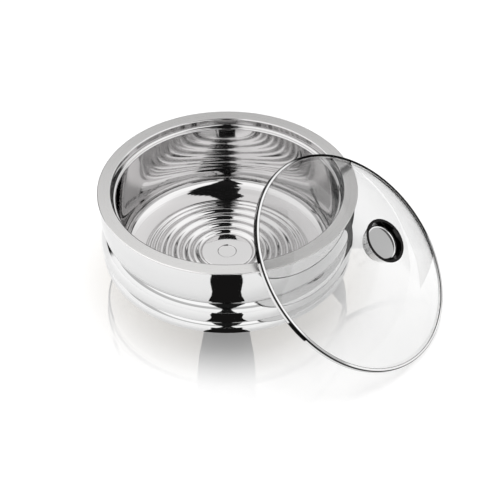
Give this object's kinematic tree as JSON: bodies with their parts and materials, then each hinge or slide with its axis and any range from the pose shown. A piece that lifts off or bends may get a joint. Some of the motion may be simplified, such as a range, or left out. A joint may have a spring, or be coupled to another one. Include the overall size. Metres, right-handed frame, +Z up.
{
  "type": "insulated steel casserole with a glass lid",
  "caption": "Double-walled round steel serving bowl with a beaded outer shell, a ribbed floor and a domed glass lid that lifts off and leans against it.",
  "frame": {"origin": "centre of the bowl's base, on the surface that it stands on", "axes": "+Z up along the bowl's axis; +X from the bowl's axis towards the lid that leans against it"},
  "size_m": [0.32, 0.23, 0.1311],
  "materials": {
    "satin_steel": "stainless steel, satin on the rim and polished inside",
    "mirror_steel": "stainless steel, mirror polished",
    "plain_steel": "turned stainless steel",
    "clear_glass": "clear toughened glass",
    "silicone": "translucent silicone",
    "plug_rubber": "moulded rubber",
    "foam": "rigid polyurethane foam, sealed in"
  },
  "bodies": {
    "bowl": {"inner_bowl": "satin_steel", "outer_shell": "mirror_steel", "insulation_foam": "foam", "base_plate": "mirror_steel", "fill_plug": "plug_rubber"},
    "lid": {"lid_glass": "clear_glass", "lid_band": "mirror_steel", "knob_cushion": "silicone", "knob_skirt": "mirror_steel", "knob_dish": "mirror_steel", "knob_bush": "plain_steel", "knob_grommet": "silicone", "knob_washer": "plain_steel", "knob_screw": "plain_steel"}
  },
  "joints": [
    {"name": "lid_lift", "type": "slide", "parent": "bowl", "child": "lid", "axis": [0, 0, 1], "range_m": [0, 0.15]}
  ]
}
